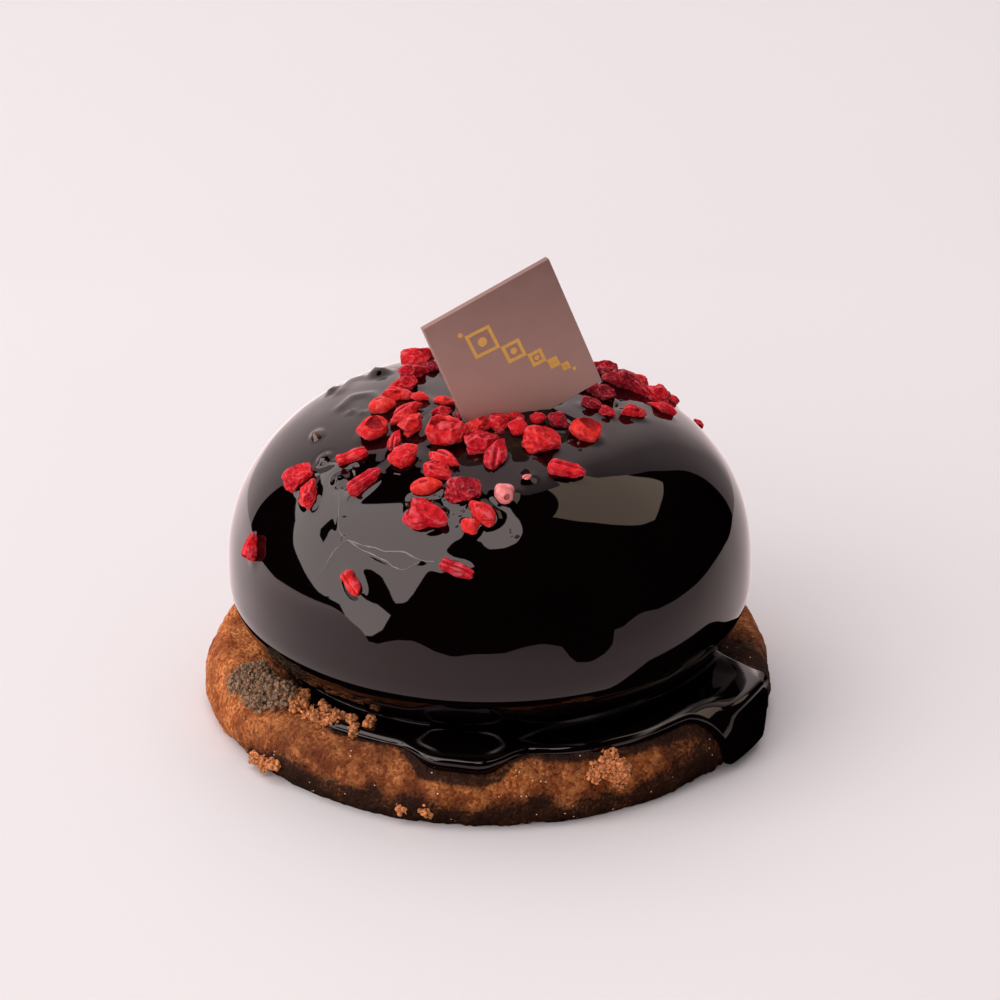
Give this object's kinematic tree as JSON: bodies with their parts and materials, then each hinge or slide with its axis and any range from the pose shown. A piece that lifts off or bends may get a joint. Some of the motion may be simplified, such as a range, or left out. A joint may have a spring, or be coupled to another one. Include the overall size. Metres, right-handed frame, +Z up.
{
  "type": "chocolate raspberry cake",
  "caption": "Small mirror-glazed chocolate dome on a round crumb biscuit, strewn with dried raspberry pieces, with a square chocolate plaque standing in its top.",
  "frame": {"origin": "centre of the biscuit's flat underside", "axes": "+Z up, -Y towards the front that the plaque faces, +X to the right seen from the front"},
  "size_m": [0.0763, 0.0763, 0.0646],
  "materials": {
    "biscuit": "baked crumb, matt, browned, darker where glaze soaked in",
    "dark_glaze": "near-black cocoa mirror glaze, wet gloss",
    "chocolate": "moulded milk chocolate with a satin bloom",
    "raspberry": "freeze-dried fruit, powdery red with paler torn rims",
    "gold_print": "thin satin gold transfer"
  },
  "bodies": {
    "root": {"biscuit_base": "biscuit", "glazed_dome": "dark_glaze", "chocolate_plaque": "chocolate"}
  },
  "joints": []
}
